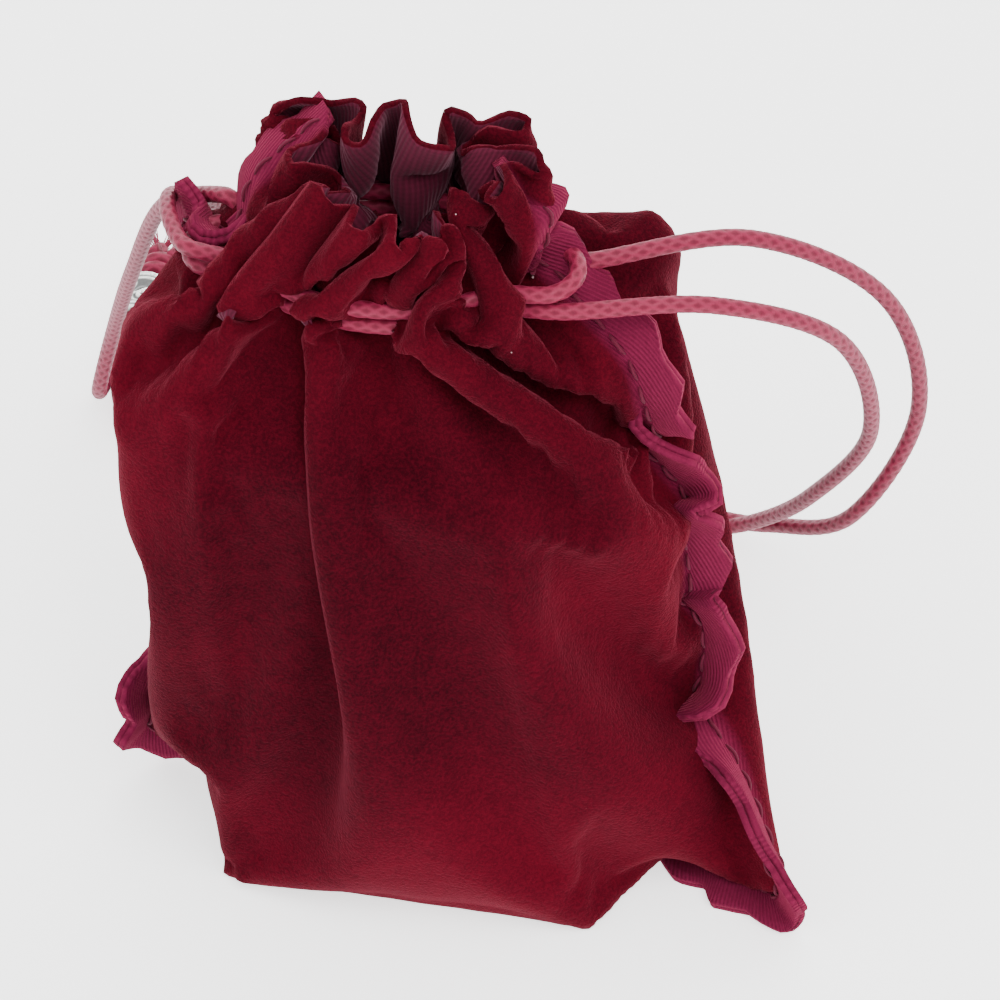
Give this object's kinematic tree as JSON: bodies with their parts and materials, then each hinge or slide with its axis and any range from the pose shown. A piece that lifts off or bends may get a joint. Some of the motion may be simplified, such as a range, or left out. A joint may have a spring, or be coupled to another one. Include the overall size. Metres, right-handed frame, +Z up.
{
  "type": "drawstring gift pouch",
  "caption": "Velvet drawstring gift pouch, filled and drawn closed, with pinked seams, looped cords, metal beads and knots.",
  "frame": {"origin": "on the surface that the pouch stands on, under the middle of the pouch", "axes": "+X to the pouch's right seam, +Y to its back, +Z up"},
  "size_m": [0.103, 0.0899, 0.0903],
  "materials": {
    "velvet": "soft pile",
    "cord": "braided, slightly glossy",
    "thread": "matt",
    "bead_metal": "antique silver"
  },
  "bodies": {
    "pouch": {"front_panel": "velvet", "back_panel": "velvet", "side_stitching_left": "thread", "side_stitching_right": "thread", "bottom_stitching": "thread", "cord_left": "cord", "cord_right": "cord", "knot_left": "cord", "knot_right": "cord"},
    "left_bead": {"bead_left": "bead_metal"},
    "right_bead": {"bead_right": "bead_metal"}
  },
  "joints": [
    {"name": "left_bead_slide", "type": "slide", "parent": "pouch", "child": "left_bead", "axis": [0, -1, 0], "range_m": [0, 0.008]},
    {"name": "right_bead_slide", "type": "slide", "parent": "pouch", "child": "right_bead", "axis": [1, 0, 0], "range_m": [0, 0.008]}
  ]
}
